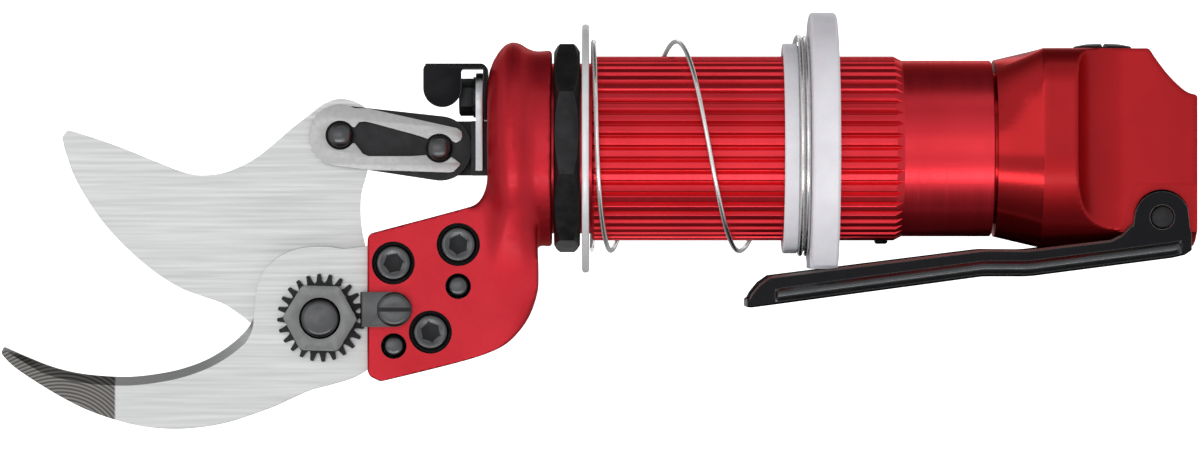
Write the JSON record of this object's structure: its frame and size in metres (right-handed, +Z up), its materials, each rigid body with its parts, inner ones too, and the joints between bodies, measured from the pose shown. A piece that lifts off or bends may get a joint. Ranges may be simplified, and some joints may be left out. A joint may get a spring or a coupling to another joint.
{
  "type": "pneumatic pruner",
  "caption": "Compressed-air bypass pruner: hook and cutting blade on a clamped head, piston in a fluted barrel, sprung guard ring and squeeze lever.",
  "frame": {"origin": "middle of the tool's box at rest, with the barrel axis 17.3 mm above it", "axes": "+X runs along the barrel from the blades to the air inlet, +Z is up with the lever underneath, and the blades work in the XZ plane"},
  "size_m": [0.2851, 0.0652, 0.0997],
  "materials": {
    "red_anodised": "red anodised, satin",
    "red_head": "red anodised casting, satin",
    "red_body": "red anodised, satin",
    "blade_steel": "fine ground",
    "hook_steel": "ground",
    "grey_steel": "machined",
    "clip_steel": "bright sheet",
    "nut_steel": "grey, satin",
    "dark_steel": "dark, satin",
    "black_oxide": "black oxide",
    "black_sheet": "black coated sheet steel",
    "spring_steel": "spring wire",
    "zinc": "zinc plated",
    "white_plastic": "moulded, satin",
    "white_plated": "white plated",
    "rubber": "matt",
    "bronze": "sintered bronze",
    "chrome": "hard chromed",
    "aluminium": "machined"
  },
  "bodies": {
    "tool_body": {"head_casting": "red_head", "counter_blade": "hook_steel", "pivot_bolt": "dark_steel", "pivot_nut": "nut_steel", "tooth_washer": "black_oxide", "lock_bracket": "dark_steel", "lock_screw": "dark_steel", "cap_screw_a": "dark_steel", "cap_screw_b": "dark_steel", "cap_screw_c": "dark_steel", "dowel_pin_a": "dark_steel", "dowel_pin_b": "dark_steel", "rod_guide_fork": "zinc", "opening_stop": "black_sheet", "gland_bolt": "black_oxide", "gland_washer": "black_oxide", "rod_bush": "bronze", "rod_seal": "rubber", "barrel": "red_anodised", "return_spring": "spring_steel", "barrel_lock_nut": "black_oxide", "spring_washer": "white_plated", "guard_spring": "spring_steel", "ring_stop_screw": "black_oxide", "valve_body": "red_body", "body_o_ring": "rubber", "valve_plug": "black_oxide", "valve_spring": "spring_steel", "inlet_strainer": "bronze", "lever_pin": "black_oxide"},
    "piston_set": {"piston_rod": "chrome", "rod_eye": "black_oxide", "piston": "aluminium", "piston_seal": "rubber", "piston_nut": "grey_steel"},
    "link": {"link_plate_near": "black_oxide", "link_plate_far": "black_oxide", "link_clip": "clip_steel", "blade_pin": "dark_steel", "rod_pin": "dark_steel"},
    "blade": {"cutting_blade": "blade_steel", "pivot_bush": "bronze"},
    "guard": {"guard_ring": "white_plastic"},
    "lever": {"trigger_lever": "black_sheet"},
    "valve_stem": {"valve_spool": "aluminium", "valve_plunger": "grey_steel"}
  },
  "joints": [
    {"name": "piston_stroke", "type": "slide", "parent": "tool_body", "child": "piston_set", "axis": [-1, 0, 0], "range_m": [0, 0.0311], "stiffness_N_per_m": 1000, "springref_m": -0.02, "deforming": ["return_spring"]},
    {"name": "link_swing", "type": "hinge", "parent": "piston_set", "child": "link", "pos_m": [-0.038, 0, 0.0173], "axis": [0, -1, 0], "range_deg": [0, 16.05]},
    {"name": "blade_pivot", "type": "hinge", "parent": "tool_body", "child": "blade", "pos_m": [-0.0661, 0, -0.0232], "axis": [0, -1, 0], "range_deg": [0, 43.1]},
    {"name": "guard_slide", "type": "slide", "parent": "tool_body", "child": "guard", "axis": [-1, 0, 0], "range_m": [0, 0.038], "stiffness_N_per_m": 100, "springref_m": -0.05, "deforming": ["guard_spring"]},
    {"name": "lever_squeeze", "type": "hinge", "parent": "tool_body", "child": "lever", "pos_m": [0.1339, 0, 0.0008], "axis": [0, 1, 0], "range_deg": [0, 3.2], "stiffness_Nm_per_rad": 1, "springref_deg": -11.46},
    {"name": "valve_lift", "type": "slide", "parent": "tool_body", "child": "valve_stem", "axis": [0, 0, 1], "range_m": [0, 0.00072], "deforming": ["valve_spring"]}
  ],
  "couplings": [
    {"joint": "link_swing", "follows": "piston_stroke", "rad_per_m": 8.9792},
    {"joint": "blade_pivot", "follows": "piston_stroke", "rad_per_m": 24.132},
    {"joint": "valve_lift", "follows": "lever_squeeze", "m_per_rad": 0.0125}
  ]
}
